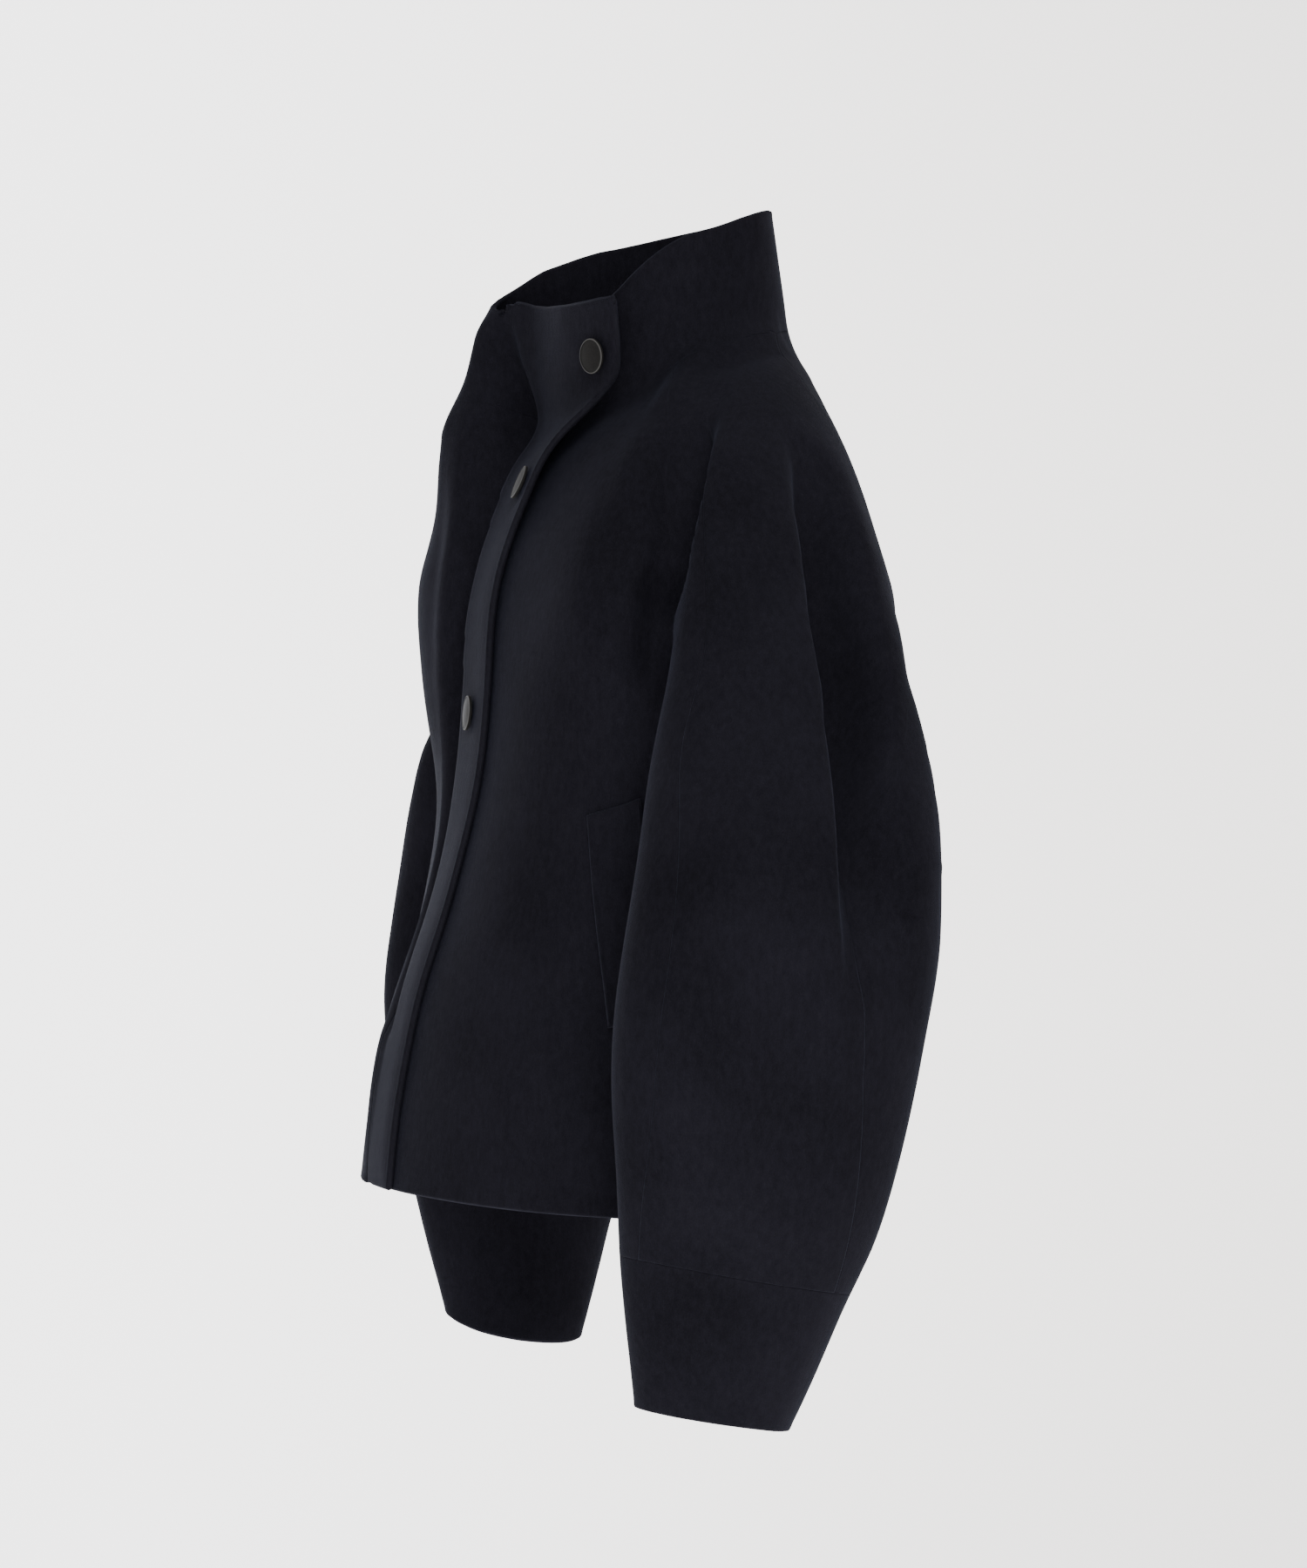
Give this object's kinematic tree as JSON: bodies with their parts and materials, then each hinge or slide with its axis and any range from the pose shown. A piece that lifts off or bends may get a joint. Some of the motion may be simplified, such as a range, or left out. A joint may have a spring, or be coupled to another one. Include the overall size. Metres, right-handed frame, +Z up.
{
  "type": "short coat",
  "caption": "Short dark wool coat with a funnel collar, an overlapping snap-fastened front band, two-piece cocoon sleeves, deep tapered cuffs and slanted welt pockets, in its worn shape.",
  "frame": {"origin": "middle of the wearer's neck base, level with the side neck seam, where the coat hangs from the wearer", "axes": "+Z up along the wearer's neck, +X to the wearer's left, -Y the way the wearer faces"},
  "size_m": [0.7372, 0.3289, 0.8083],
  "materials": {
    "wool": "matte brushed melton",
    "snap": "dark, glossy"
  },
  "bodies": {
    "root": {"front_left": "wool", "front_right": "wool", "back": "wool", "collar": "wool", "front_band": "wool", "sleeve_outer_left": "wool", "sleeve_outer_right": "wool", "sleeve_under_left": "wool", "sleeve_under_right": "wool", "cuff_left": "wool", "cuff_right": "wool", "welt_left": "wool", "welt_right": "wool", "snap_1": "snap", "snap_2": "snap", "snap_3": "snap"}
  },
  "joints": []
}
